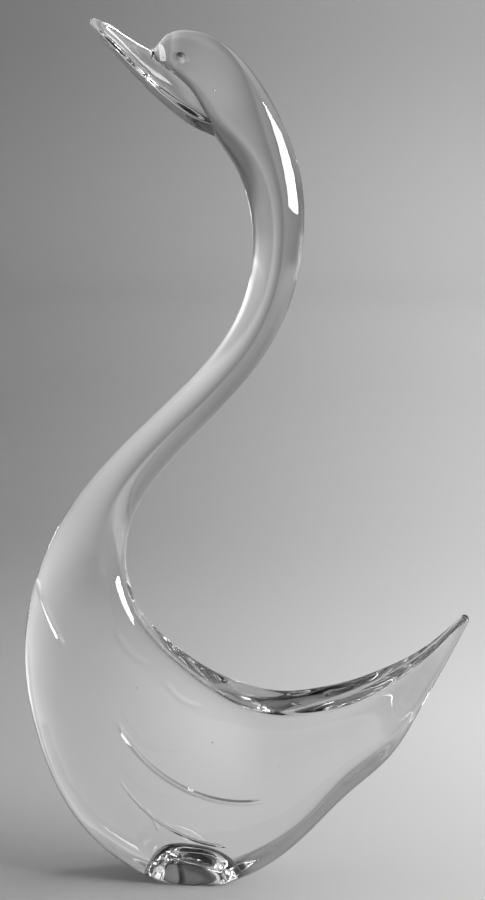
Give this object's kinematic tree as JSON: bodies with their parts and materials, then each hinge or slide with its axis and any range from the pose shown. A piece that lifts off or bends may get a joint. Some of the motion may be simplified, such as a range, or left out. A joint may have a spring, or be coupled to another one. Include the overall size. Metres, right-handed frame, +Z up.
{
  "type": "crystal swan figurine",
  "caption": "Solid clear crystal swan with a tall curved neck, raised bill and upswept tail, standing on a ground flat foot.",
  "frame": {"origin": "middle of the flat foot, on the surface that the swan stands on", "axes": "+Z up, bill toward -X, tail toward +X, mirror plane at Y = 0"},
  "size_m": [0.1818, 0.0552, 0.35],
  "materials": {
    "crystal": "clear lead crystal, fire-polished, with a ground and polished foot"
  },
  "bodies": {
    "root": {"crystal_swan": "crystal"}
  },
  "joints": []
}
